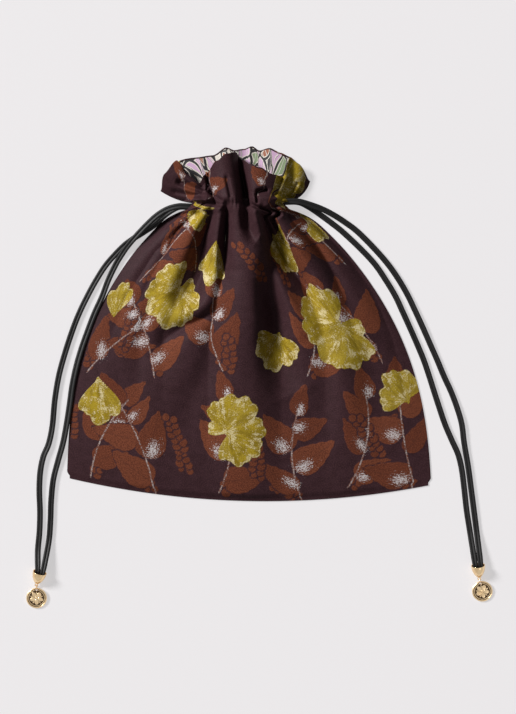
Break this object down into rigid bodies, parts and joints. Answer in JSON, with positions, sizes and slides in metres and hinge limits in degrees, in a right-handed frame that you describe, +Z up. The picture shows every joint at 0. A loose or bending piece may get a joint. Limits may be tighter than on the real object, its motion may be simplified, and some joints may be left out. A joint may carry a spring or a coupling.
{
  "type": "drawstring pouch",
  "caption": "Lined brocade drawstring pouch lying on its back, neck gathered shut by a pair of leather laces that end in brass bells with small round charms.",
  "frame": {"origin": "under the middle of the cloth, on the surface that the pouch lies on", "axes": "+Z up from the surface, +Y from the bottom seam to the frill, +X across the pouch to the right"},
  "size_m": [0.3493, 0.3456, 0.0289],
  "materials": {
    "brocade": "satin-ground brocade, dark aubergine with rust leaves and ochre blossoms",
    "lining_print": "smooth printed lining in pink, sage, cream and black",
    "leather": "folded and stitched flat black lace",
    "brass": "polished pale gold plating"
  },
  "bodies": {
    "pouch": {"outer_front_panel": "brocade", "outer_back_panel": "brocade", "lining_front_panel": "lining_print", "lining_back_panel": "lining_print", "left_drawcord": "leather", "right_drawcord": "leather", "left_bell": "brass", "right_bell": "brass"},
    "left_ring_body": {"left_ring": "brass"},
    "left_charm_body": {"left_charm": "brass"},
    "right_ring_body": {"right_ring": "brass"},
    "right_charm_body": {"right_charm": "brass"}
  },
  "joints": [
    {"name": "left_ring_swing", "type": "hinge", "parent": "pouch", "child": "left_ring_body", "pos_m": [-0.15914, -0.19662, 0.00201], "axis": [-1, 0, 0], "range_deg": [0, 75]},
    {"name": "left_charm_swing", "type": "hinge", "parent": "left_ring_body", "child": "left_charm_body", "pos_m": [-0.15914, -0.19802, 0.00201], "axis": [-1, 0, 0], "range_deg": [0, 50]},
    {"name": "right_ring_swing", "type": "hinge", "parent": "pouch", "child": "right_ring_body", "pos_m": [0.17272, -0.1918, 0.002], "axis": [-0.9703, -0.2419, 0], "range_deg": [0, 75]},
    {"name": "right_charm_swing", "type": "hinge", "parent": "right_ring_body", "child": "right_charm_body", "pos_m": [0.17306, -0.19316, 0.002], "axis": [-0.9703, -0.2419, 0], "range_deg": [0, 50]}
  ]
}
